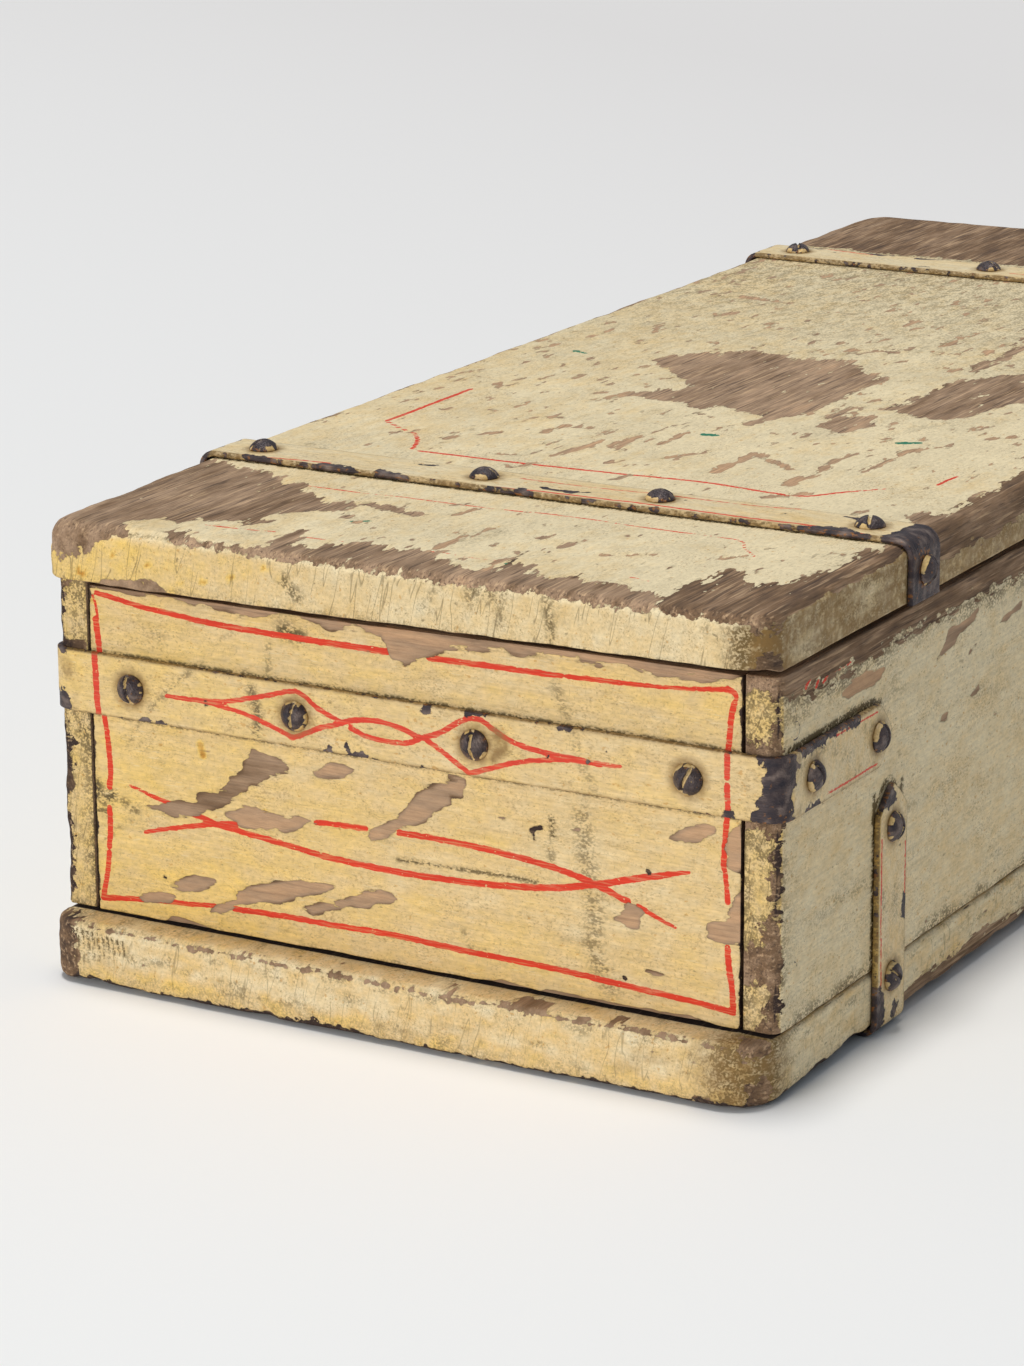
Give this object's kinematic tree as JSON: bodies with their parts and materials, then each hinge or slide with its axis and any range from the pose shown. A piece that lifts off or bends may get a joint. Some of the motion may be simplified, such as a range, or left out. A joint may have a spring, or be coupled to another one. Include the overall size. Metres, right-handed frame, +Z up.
{
  "type": "painted wooden box",
  "caption": "Long, low painted wooden box bound with iron straps, with a flat lid that turns back on two strap hinges.",
  "frame": {"origin": "under the middle of the box, on the surface that it stands on, which is the underside of the two under straps", "axes": "+Z up; +Y along the box, away from the painted end; +X to the right seen from the painted end, with the hinges on the -X side"},
  "size_m": [0.2647, 0.604, 0.1543],
  "materials": {
    "painted_board": "old chipped cream paint over brown softwood",
    "painted_iron": "cream paint worn through to dark iron",
    "screw_iron": "dark, lightly rusted iron",
    "nail_iron": "rusted iron"
  },
  "bodies": {
    "box": {"bottom_board": "painted_board", "side_board_left": "painted_board", "side_board_right": "painted_board", "end_board_front": "painted_board", "end_board_rear": "painted_board", "end_strap_front": "painted_iron", "end_strap_rear": "painted_iron", "under_strap_front": "painted_iron", "under_strap_rear": "painted_iron", "hinge_pin_front": "screw_iron", "hinge_pin_rear": "screw_iron", "end_strap_screws_front": "screw_iron", "end_strap_screws_rear": "screw_iron", "under_strap_screws_front": "screw_iron", "under_strap_screws_rear": "screw_iron", "corner_nails_all": "nail_iron", "bottom_nails_all": "nail_iron"},
    "lid": {"lid_board": "painted_board", "lid_strap_front": "painted_iron", "lid_strap_rear": "painted_iron", "lid_strap_screws_front": "screw_iron", "lid_strap_screws_rear": "screw_iron"}
  },
  "joints": [
    {"name": "lid_hinge", "type": "hinge", "parent": "box", "child": "lid", "pos_m": [-0.12985, 0, 0.13], "axis": [0, -1, 0], "range_deg": [0, 200]}
  ]
}
